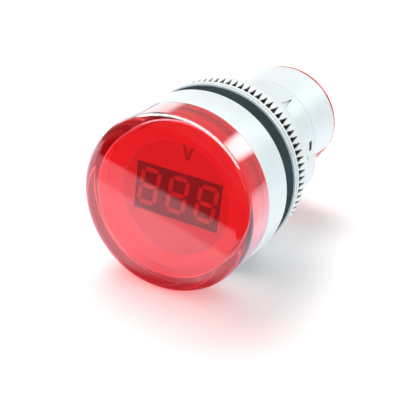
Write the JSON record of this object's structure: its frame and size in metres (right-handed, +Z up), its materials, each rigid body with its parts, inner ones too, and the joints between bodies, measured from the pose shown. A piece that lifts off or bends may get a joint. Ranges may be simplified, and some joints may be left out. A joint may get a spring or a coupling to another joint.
{
  "type": "panel voltmeter",
  "caption": "Round digital voltmeter for a panel hole: red lens, white bezel, threaded barrel with lock nut and gasket, red rear shell with screw terminals.",
  "frame": {"origin": "centre of the bezel's rear face, which seats on the front of the panel", "axes": "+Y from the lens back along the barrel, +X to the right seen from the front, +Z up when the digits read level"},
  "size_m": [0.029, 0.0485, 0.029],
  "materials": {
    "red_lens": "clear red, polished",
    "white_moulding": "satin white moulding",
    "white_nut": "satin warm white moulding",
    "face_white": "matt white",
    "display_grey": "matt dark grey",
    "display_milk": "milky resin",
    "tinned_wire": "tinned",
    "board_green": "green solder mask",
    "black_moulding": "matt black",
    "capacitor_sleeve": "shiny dark sleeve",
    "film_yellow": "smooth yellow",
    "resistor_beige": "beige lacquer",
    "trimmer_blue": "blue",
    "rotor_white": "white",
    "gasket_rubber": "matt dark slate",
    "washer_pale": "pale satin",
    "red_moulding": "smooth red moulding",
    "wrap_white": "plain white sleeve",
    "terminal_brass": "brass strip",
    "plated_steel": "zinc plated"
  },
  "bodies": {
    "meter": {"lens_cap": "red_lens", "front_housing": "white_moulding", "face_ring": "face_white", "display_case": "display_grey", "display_segments": "display_milk", "display_pins": "tinned_wire", "display_board": "board_green", "header_block": "black_moulding", "header_pins": "tinned_wire", "main_board": "board_green", "electrolytic_capacitor": "capacitor_sleeve", "film_capacitor": "film_yellow", "bridge_rectifier": "black_moulding", "resistor_left": "resistor_beige", "resistor_right": "resistor_beige", "trimmer": "trimmer_blue", "trimmer_rotor": "rotor_white", "controller_chip": "black_moulding", "chip_resistors": "black_moulding", "gasket": "gasket_rubber", "rear_shell": "red_moulding", "wrap_label": "wrap_white", "terminal_strip_left": "terminal_brass", "terminal_strip_right": "terminal_brass"},
    "washer": {"clamp_washer": "washer_pale"},
    "nut": {"lock_nut": "white_nut"},
    "left_clamp": {"terminal_clamp_left": "plated_steel"},
    "left_screw": {"terminal_screw_left": "plated_steel"},
    "right_clamp": {"terminal_clamp_right": "plated_steel"},
    "right_screw": {"terminal_screw_right": "plated_steel"}
  },
  "joints": [
    {"name": "washer_slide", "type": "slide", "parent": "meter", "child": "washer", "axis": [0, 1, 0], "range_m": [0, 0.00601]},
    {"name": "nut_turn", "type": "hinge", "parent": "washer", "child": "nut", "pos_m": [0, 0, 0], "axis": [0, 1, 0], "range_deg": [0, 1440]},
    {"name": "left_clamp_lift", "type": "slide", "parent": "meter", "child": "left_clamp", "axis": [0, 1, 0], "range_m": [0, 0.0025]},
    {"name": "left_screw_turn", "type": "hinge", "parent": "left_clamp", "child": "left_screw", "pos_m": [-0.0039, 0.0277, -0.00635], "axis": [0, 1, 0], "range_deg": [0, 1800]},
    {"name": "right_clamp_lift", "type": "slide", "parent": "meter", "child": "right_clamp", "axis": [0, 1, 0], "range_m": [0, 0.0025]},
    {"name": "right_screw_turn", "type": "hinge", "parent": "right_clamp", "child": "right_screw", "pos_m": [0.0039, 0.0277, -0.00635], "axis": [0, 1, 0], "range_deg": [0, 1800]}
  ],
  "couplings": [
    {"joint": "washer_slide", "follows": "nut_turn", "m_per_rad": 0.00023873},
    {"joint": "left_clamp_lift", "follows": "left_screw_turn", "m_per_rad": 0.000079577},
    {"joint": "right_clamp_lift", "follows": "right_screw_turn", "m_per_rad": 0.000079577}
  ]
}
